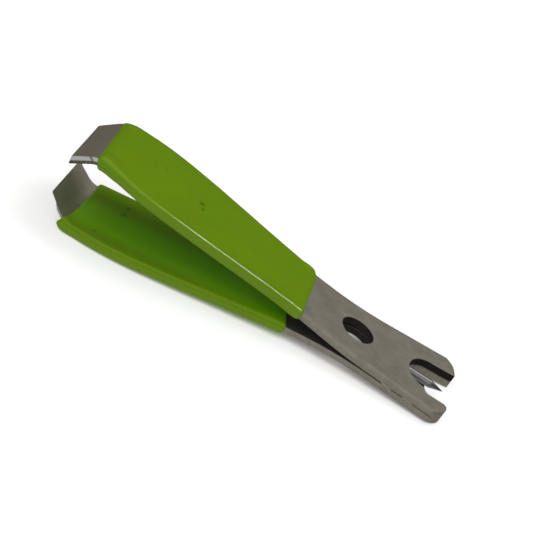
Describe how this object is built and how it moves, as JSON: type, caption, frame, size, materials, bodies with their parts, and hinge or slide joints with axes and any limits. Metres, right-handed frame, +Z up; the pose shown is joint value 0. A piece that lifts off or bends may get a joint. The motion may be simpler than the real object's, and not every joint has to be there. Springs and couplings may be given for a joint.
{
  "type": "line nipper",
  "caption": "Spring-leaf line nipper: two bent steel leaves welded at the tail, dipped sleeves on the arms, needle in a fork notch.",
  "frame": {"origin": "centre of the bounding box's base, at the surface the tool rests on", "axes": "+X from the jaws to the forked tail, +Y across the tool, away from the stepped side of the fork, +Z up"},
  "size_m": [0.0602, 0.0158, 0.0126],
  "materials": {
    "leaf_steel": "satin, tumbled",
    "sleeve_vinyl": "gloss, dipped",
    "needle_steel": "polished",
    "weld_steel": "as fused"
  },
  "bodies": {
    "tail": {"upper_leaf_tail": "leaf_steel", "lower_leaf_tail": "leaf_steel", "needle": "needle_steel", "weld_front_near": "weld_steel", "weld_front_far": "weld_steel", "weld_rear_near": "weld_steel", "weld_rear_far": "weld_steel"},
    "upper_arm": {"upper_leaf_arm": "leaf_steel", "upper_sleeve": "sleeve_vinyl"},
    "lower_arm": {"lower_leaf_arm": "leaf_steel", "lower_sleeve": "sleeve_vinyl"}
  },
  "joints": [
    {"name": "upper_arm_flex", "type": "hinge", "parent": "tail", "child": "upper_arm", "pos_m": [0.01015, 0, 0.0041], "axis": [0, -1, 0], "range_deg": [0, 3.05], "stiffness_Nm_per_rad": 13},
    {"name": "lower_arm_flex", "type": "hinge", "parent": "tail", "child": "lower_arm", "pos_m": [0.00994, 0, 0.0019], "axis": [0, 1, 0], "range_deg": [0, 3.6], "stiffness_Nm_per_rad": 13}
  ]
}
